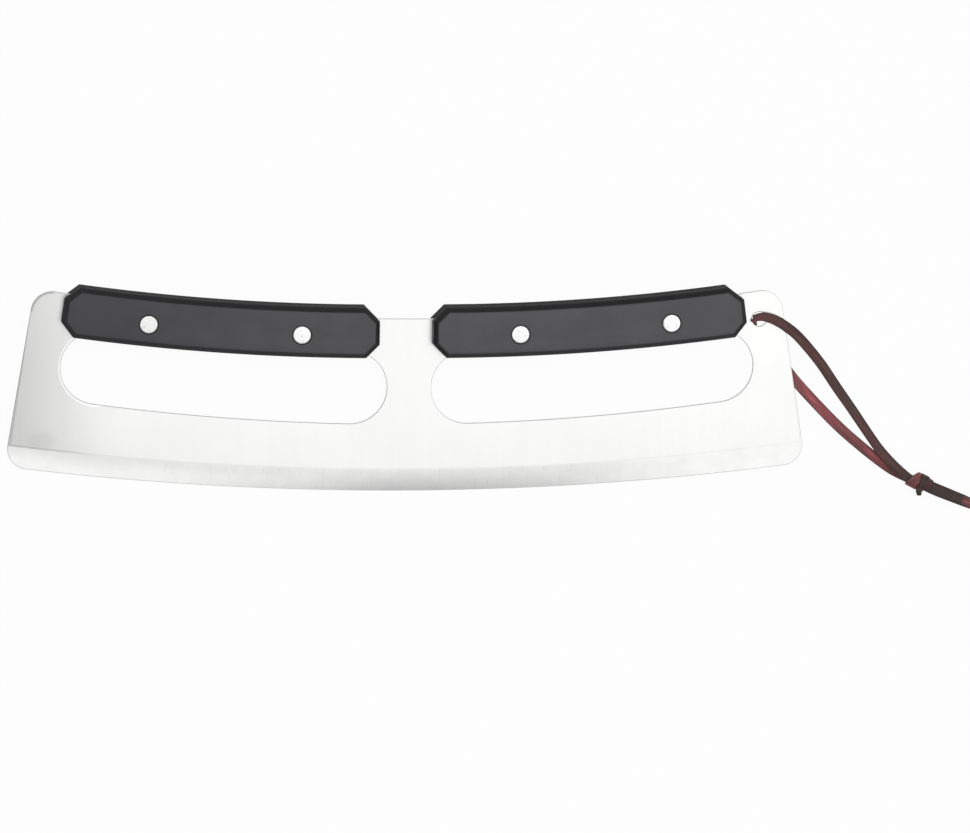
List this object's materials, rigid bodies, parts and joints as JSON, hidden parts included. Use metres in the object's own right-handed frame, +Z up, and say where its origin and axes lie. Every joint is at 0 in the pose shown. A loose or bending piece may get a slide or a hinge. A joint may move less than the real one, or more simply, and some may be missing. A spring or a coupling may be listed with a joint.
{
  "type": "pizza rocker knife",
  "caption": "Long rocker knife for cutting pizza: a steel plate blade with a curved edge, finger slots, riveted black handles along its back and a leather lanyard.",
  "frame": {"origin": "on the table under the middle of the knife's box, without the lanyard", "axes": "+X along the blade towards the lanyard hole, +Y from the cutting edge to the handles, +Z up from the table, with the knife lying on its edge and on the handles' rear corners"},
  "size_m": [0.4818, 0.1264, 0.0202],
  "materials": {
    "blade_steel": "brushed along the blade, with a ground bevel",
    "handle_plastic": "satin black",
    "rivet_steel": "bright, ground flush",
    "lanyard_leather": "dark brown lace, waxed"
  },
  "bodies": {
    "knife": {"blade": "blade_steel", "left_front_scale": "handle_plastic", "left_rear_scale": "handle_plastic", "right_front_scale": "handle_plastic", "right_rear_scale": "handle_plastic", "left_inner_rivet_tube": "rivet_steel", "left_inner_rivet_pin": "rivet_steel", "left_outer_rivet_tube": "rivet_steel", "left_outer_rivet_pin": "rivet_steel", "right_inner_rivet_tube": "rivet_steel", "right_inner_rivet_pin": "rivet_steel", "right_outer_rivet_tube": "rivet_steel", "right_outer_rivet_pin": "rivet_steel"},
    "lanyard": {"lanyard_lace": "lanyard_leather", "lanyard_knot": "lanyard_leather", "lanyard_loop": "lanyard_leather"}
  },
  "joints": [
    {"name": "lanyard_swing", "type": "hinge", "parent": "knife", "child": "lanyard", "pos_m": [0.1545, 0.02958, 0.01018], "axis": [0, 0, 1], "range_deg": [-15, 25]}
  ]
}
